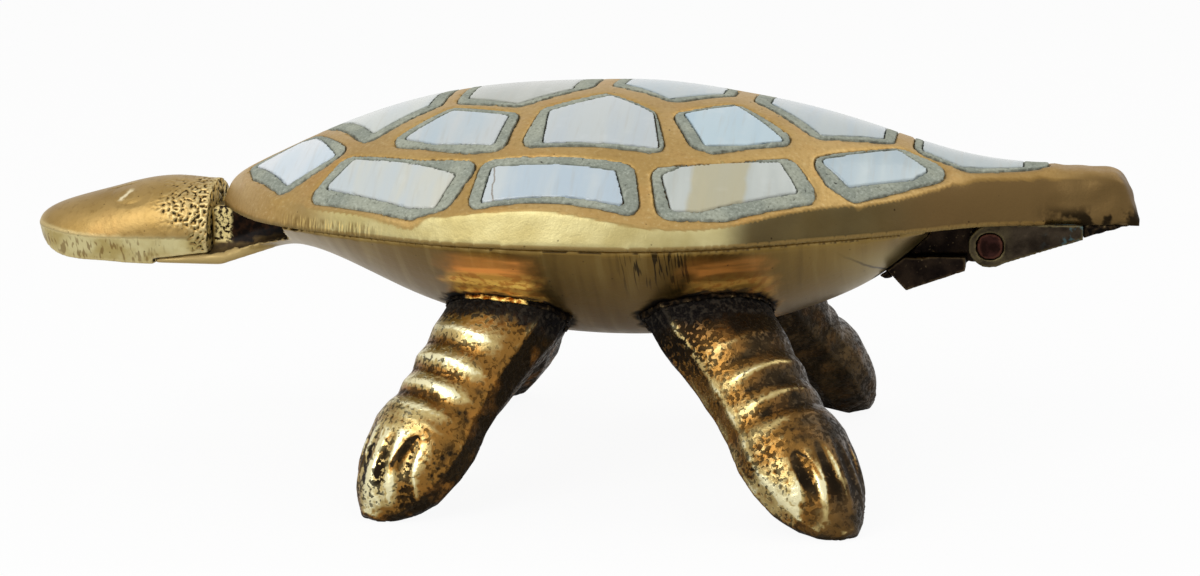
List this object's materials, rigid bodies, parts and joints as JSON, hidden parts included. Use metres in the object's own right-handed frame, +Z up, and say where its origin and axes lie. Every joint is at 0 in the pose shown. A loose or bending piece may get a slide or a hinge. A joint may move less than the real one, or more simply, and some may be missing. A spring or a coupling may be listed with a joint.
{
  "type": "turtle box",
  "caption": "Cast brass turtle standing on four legs, whose shell inlaid with mother-of-pearl is the lid of its hollow body, hinged under the tail.",
  "frame": {"origin": "on the ground under the middle of the turtle's length and width", "axes": "+X from the nose towards the tail, +Y towards the turtle's right side, +Z up"},
  "size_m": [0.2, 0.1064, 0.0689],
  "materials": {
    "shell_brass": "satin, brushed, with fine dark specks",
    "belly_brass": "polished, tarnished olive brown",
    "head_brass": "satin with casting pits",
    "leg_brass": "half polished over a pitted casting skin",
    "burnt_braze": "rough, burnt dark",
    "bracket_brass": "dark patina",
    "fork_brass": "dark patina",
    "pin_metal": "dull red brown, filed flush",
    "mother_of_pearl": "polished nacre",
    "grey_cement": "grainy grey filler"
  },
  "bodies": {
    "base": {"bowl": "belly_brass", "head": "head_brass", "leg_front_left": "leg_brass", "leg_front_right": "leg_brass", "leg_rear_left": "leg_brass", "leg_rear_right": "leg_brass", "leg_front_left_braze": "burnt_braze", "leg_front_right_braze": "burnt_braze", "leg_rear_left_braze": "burnt_braze", "leg_rear_right_braze": "burnt_braze", "hinge_bracket": "bracket_brass", "bracket_braze": "burnt_braze"},
    "shell": {"shell": "shell_brass", "hinge_fork": "fork_brass", "fork_braze": "burnt_braze", "hinge_pin": "pin_metal", "pearl_back_1": "mother_of_pearl", "pearl_back_2": "mother_of_pearl", "pearl_back_3": "mother_of_pearl", "pearl_back_4": "mother_of_pearl", "pearl_back_5": "mother_of_pearl", "pearl_right_flank_1": "mother_of_pearl", "pearl_right_flank_2": "mother_of_pearl", "pearl_right_flank_3": "mother_of_pearl", "pearl_right_rim_1": "mother_of_pearl", "pearl_right_rim_2": "mother_of_pearl", "pearl_right_rim_3": "mother_of_pearl", "pearl_right_rim_4": "mother_of_pearl", "pearl_right_rim_5": "mother_of_pearl", "pearl_left_flank_1": "mother_of_pearl", "pearl_left_flank_2": "mother_of_pearl", "pearl_left_flank_3": "mother_of_pearl", "pearl_left_rim_1": "mother_of_pearl", "pearl_left_rim_2": "mother_of_pearl", "pearl_left_rim_3": "mother_of_pearl", "pearl_left_rim_4": "mother_of_pearl", "pearl_left_rim_5": "mother_of_pearl", "cement_back_1": "grey_cement", "cement_back_2": "grey_cement", "cement_back_3": "grey_cement", "cement_back_4": "grey_cement", "cement_back_5": "grey_cement", "cement_right_flank_1": "grey_cement", "cement_right_flank_2": "grey_cement", "cement_right_flank_3": "grey_cement", "cement_right_rim_1": "grey_cement", "cement_right_rim_2": "grey_cement", "cement_right_rim_3": "grey_cement", "cement_right_rim_4": "grey_cement", "cement_right_rim_5": "grey_cement", "cement_left_flank_1": "grey_cement", "cement_left_flank_2": "grey_cement", "cement_left_flank_3": "grey_cement", "cement_left_rim_1": "grey_cement", "cement_left_rim_2": "grey_cement", "cement_left_rim_3": "grey_cement", "cement_left_rim_4": "grey_cement", "cement_left_rim_5": "grey_cement"}
  },
  "joints": [
    {"name": "shell_hinge", "type": "hinge", "parent": "base", "child": "shell", "pos_m": [0.0741, 0, 0.0417], "axis": [0, 1, 0], "range_deg": [0, 85]}
  ]
}
